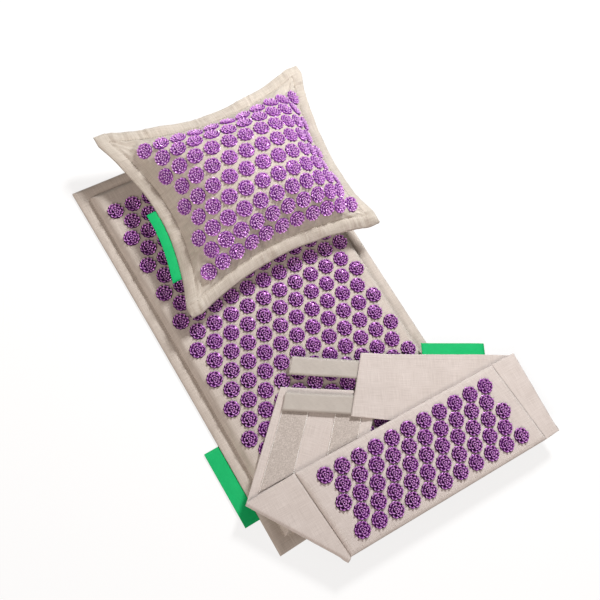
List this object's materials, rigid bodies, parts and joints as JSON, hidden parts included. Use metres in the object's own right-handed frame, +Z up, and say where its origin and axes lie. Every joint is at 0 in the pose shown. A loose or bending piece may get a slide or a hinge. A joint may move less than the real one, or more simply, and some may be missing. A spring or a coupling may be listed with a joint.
{
  "type": "acupressure mat set",
  "caption": "Linen acupressure mat with a plump pillow on its head end and a folded waist belt on its foot end, all carrying moulded plastic rosettes that press on the skin.",
  "frame": {"origin": "centre of the mat's underside, where the mat rests on the floor", "axes": "+Z up from the floor, +Y along the mat towards the pillow, +X across the mat towards the side where the pillow and the belt overhang"},
  "size_m": [0.5647, 0.8267, 0.1396],
  "materials": {
    "mat_linen": "plain woven linen",
    "pillow_linen": "plain woven linen",
    "belt_linen": "plain woven linen",
    "violet_plastic": "glossy moulded plastic",
    "coconut_fibre": "needled fibre felt",
    "husk_bag": "thin cotton bag filled with husks",
    "pad_foam": "soft wadding",
    "green_label": "woven satin ribbon",
    "grey_strap": "woven tape",
    "grey_loop": "fleecy loop tape",
    "hook_tape": "nylon hook tape",
    "zip_tape": "woven zip tape with a nylon coil",
    "zip_metal": "plated metal"
  },
  "bodies": {
    "mat": {"mat_top_cover": "mat_linen", "mat_bottom_cover": "mat_linen", "mat_core": "coconut_fibre", "mat_zip_tape_foot": "zip_tape", "mat_zip_tape_head": "zip_tape", "mat_side_label": "green_label"},
    "mat_zip_slider": {"mat_zip_slider": "zip_metal"},
    "mat_zip_pull": {"mat_zip_pull": "zip_metal"},
    "pillow": {"pillow_top_cover": "pillow_linen", "pillow_bottom_cover": "pillow_linen", "pillow_husk_bag": "husk_bag", "pillow_zip_tape_foot": "zip_tape", "pillow_zip_tape_head": "zip_tape", "pillow_side_label": "green_label"},
    "pillow_zip_slider": {"pillow_zip_slider": "zip_metal", "pillow_zip_pull": "zip_metal"},
    "belt": {"belt_front_panel": "belt_linen", "belt_lining": "belt_linen", "belt_pad": "pad_foam", "belt_left_tail": "belt_linen", "belt_right_tail": "belt_linen", "belt_loop_strip_outer": "grey_loop", "belt_loop_strip_inner": "grey_loop", "belt_label": "green_label"},
    "upper_strap": {"belt_upper_strap": "grey_strap", "belt_upper_hook_patch": "hook_tape"},
    "lower_strap": {"belt_lower_strap": "grey_strap", "belt_lower_hook_patch": "hook_tape"}
  },
  "joints": [
    {"name": "pillow_lift", "type": "slide", "parent": "mat", "child": "pillow", "axis": [0, 0, 1], "range_m": [0, 0.3]},
    {"name": "belt_lift", "type": "slide", "parent": "mat", "child": "belt", "axis": [0, 0, 1], "range_m": [0, 0.3]},
    {"name": "upper_strap_peel", "type": "hinge", "parent": "belt", "child": "upper_strap", "pos_m": [0.0558, -0.16116, 0.0361], "axis": [0.667, 0.7451, 0], "range_deg": [0, 85]},
    {"name": "lower_strap_peel", "type": "hinge", "parent": "belt", "child": "lower_strap", "pos_m": [0.01479, -0.20696, 0.0361], "axis": [0.667, 0.7451, 0], "range_deg": [0, 85]},
    {"name": "mat_zip_slide", "type": "slide", "parent": "mat", "child": "mat_zip_slider", "axis": [-1, 0, 0], "range_m": [0, 0.24]},
    {"name": "mat_zip_pull_flip", "type": "hinge", "parent": "mat_zip_slider", "child": "mat_zip_pull", "pos_m": [0.1295, -0.27891, 0.00075], "axis": [0, -1, 0], "range_deg": [0, 90]},
    {"name": "pillow_zip_slide", "type": "slide", "parent": "pillow", "child": "pillow_zip_slider", "axis": [-0.9998, 0.0174, 0], "range_m": [0, 0.09]}
  ]
}
